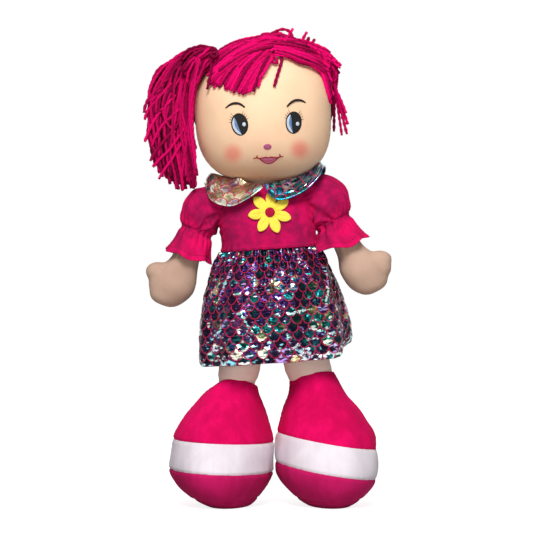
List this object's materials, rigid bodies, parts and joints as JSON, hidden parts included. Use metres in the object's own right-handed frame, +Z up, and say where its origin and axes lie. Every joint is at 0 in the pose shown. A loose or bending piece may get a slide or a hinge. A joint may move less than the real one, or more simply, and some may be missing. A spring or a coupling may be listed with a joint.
{
  "type": "rag doll",
  "caption": "Soft rag doll with side-tied yarn hair, velvet top, scale-patterned foil skirt and collar, felt flower, mitten hands and big stuffed striped shoes.",
  "frame": {"origin": "on the ground under the middle of the doll's bounding box", "axes": "+Z up, the doll faces -Y, +X is on the right of someone who looks at its face"},
  "size_m": [0.312, 0.1826, 0.593],
  "materials": {
    "skin_knit": "smooth knit",
    "yarn": "chunky twisted yarn",
    "velvet": "short velvet pile",
    "scale_foil": "holographic foil print of scales on cloth",
    "shoe_plush": "short plush",
    "shoe_plush_dark": "short plush",
    "white_plush": "short plush",
    "yellow_felt": "felt",
    "red_felt": "felt",
    "black_thread": "satin embroidery thread",
    "blue_thread": "satin embroidery thread",
    "white_thread": "satin embroidery thread",
    "mauve_thread": "satin embroidery thread",
    "lip_thread": "satin embroidery thread",
    "fibre": "loose polyester fibre"
  },
  "bodies": {
    "torso": {"body": "skin_knit", "bodice": "velvet", "collar_left": "scale_foil", "collar_right": "scale_foil", "flower_petals": "yellow_felt", "flower_centre": "red_felt"},
    "neck": {"neck": "skin_knit"},
    "head": {"head_skin": "skin_knit", "head_filling": "fibre", "eye_left": "black_thread", "iris_left": "blue_thread", "highlight_left": "white_thread", "brow_left": "black_thread", "eye_right": "black_thread", "iris_right": "blue_thread", "highlight_right": "white_thread", "brow_right": "black_thread", "nose": "mauve_thread", "lips": "lip_thread", "hair_cap": "yarn", "fringe_left": "yarn", "fringe_right": "yarn"},
    "hair_left": {"hair_tie_left": "red_felt", "hair_bunch_left": "yarn"},
    "hair_right": {"hair_tie_right": "red_felt", "hair_bunch_right": "yarn"},
    "arm_left": {"arm_left": "skin_knit", "sleeve_left": "velvet", "sleeve_elastic_left": "velvet", "cuff_left": "velvet"},
    "arm_right": {"arm_right": "skin_knit", "sleeve_right": "velvet", "sleeve_elastic_right": "velvet", "cuff_right": "velvet"},
    "lap": {"skirt": "scale_foil"},
    "leg_left": {"leg_left": "skin_knit", "shoe_sole_left": "shoe_plush_dark", "shoe_toe_left": "shoe_plush_dark", "shoe_stripe_left": "white_plush", "shoe_vamp_left": "shoe_plush", "shoe_heel_left": "shoe_plush", "shoe_filling_left": "fibre"},
    "leg_right": {"leg_right": "skin_knit", "shoe_sole_right": "shoe_plush_dark", "shoe_toe_right": "shoe_plush_dark", "shoe_stripe_right": "white_plush", "shoe_vamp_right": "shoe_plush", "shoe_heel_right": "shoe_plush", "shoe_filling_right": "fibre"}
  },
  "joints": [
    {"name": "neck_turn", "type": "hinge", "parent": "torso", "child": "neck", "pos_m": [-0.00395, 0.00247, 0.40168], "axis": [-0.0698, 0, 0.9976], "range_deg": [-45, 45]},
    {"name": "head_nod", "type": "hinge", "parent": "neck", "child": "head", "pos_m": [-0.00423, -0.00153, 0.49467], "axis": [1, 0, 0], "range_deg": [-15, 15]},
    {"name": "hair_left_swing", "type": "hinge", "parent": "head", "child": "hair_left", "pos_m": [-0.08997, 0.01247, 0.55132], "axis": [-1, 0, 0], "range_deg": [-25, 25]},
    {"name": "hair_right_swing", "type": "hinge", "parent": "head", "child": "hair_right", "pos_m": [0.07374, 0.03247, 0.55794], "axis": [1, 0, 0], "range_deg": [0, 25]},
    {"name": "shoulder_left", "type": "hinge", "parent": "torso", "child": "arm_left", "pos_m": [-0.08222, 0.00247, 0.37415], "axis": [-1, 0, 0], "range_deg": [-50, 100], "deforming": ["sleeve_left"]},
    {"name": "shoulder_right", "type": "hinge", "parent": "torso", "child": "arm_right", "pos_m": [0.07739, 0.00247, 0.38531], "axis": [-1, 0, 0], "range_deg": [-50, 100], "deforming": ["sleeve_right"]},
    {"name": "sit_fold", "type": "hinge", "parent": "torso", "child": "lap", "pos_m": [0.00526, 0.00247, 0.26032], "axis": [-1, 0, 0], "range_deg": [0, 90], "deforming": ["skirt"]},
    {"name": "leg_left_swing", "type": "hinge", "parent": "lap", "child": "leg_left", "pos_m": [-0.02124, 0.00247, 0.26032], "axis": [-1, 0, 0], "range_deg": [-20, 20]},
    {"name": "leg_right_swing", "type": "hinge", "parent": "lap", "child": "leg_right", "pos_m": [0.03176, 0.00247, 0.26401], "axis": [-1, 0, 0], "range_deg": [-20, 20]}
  ]
}
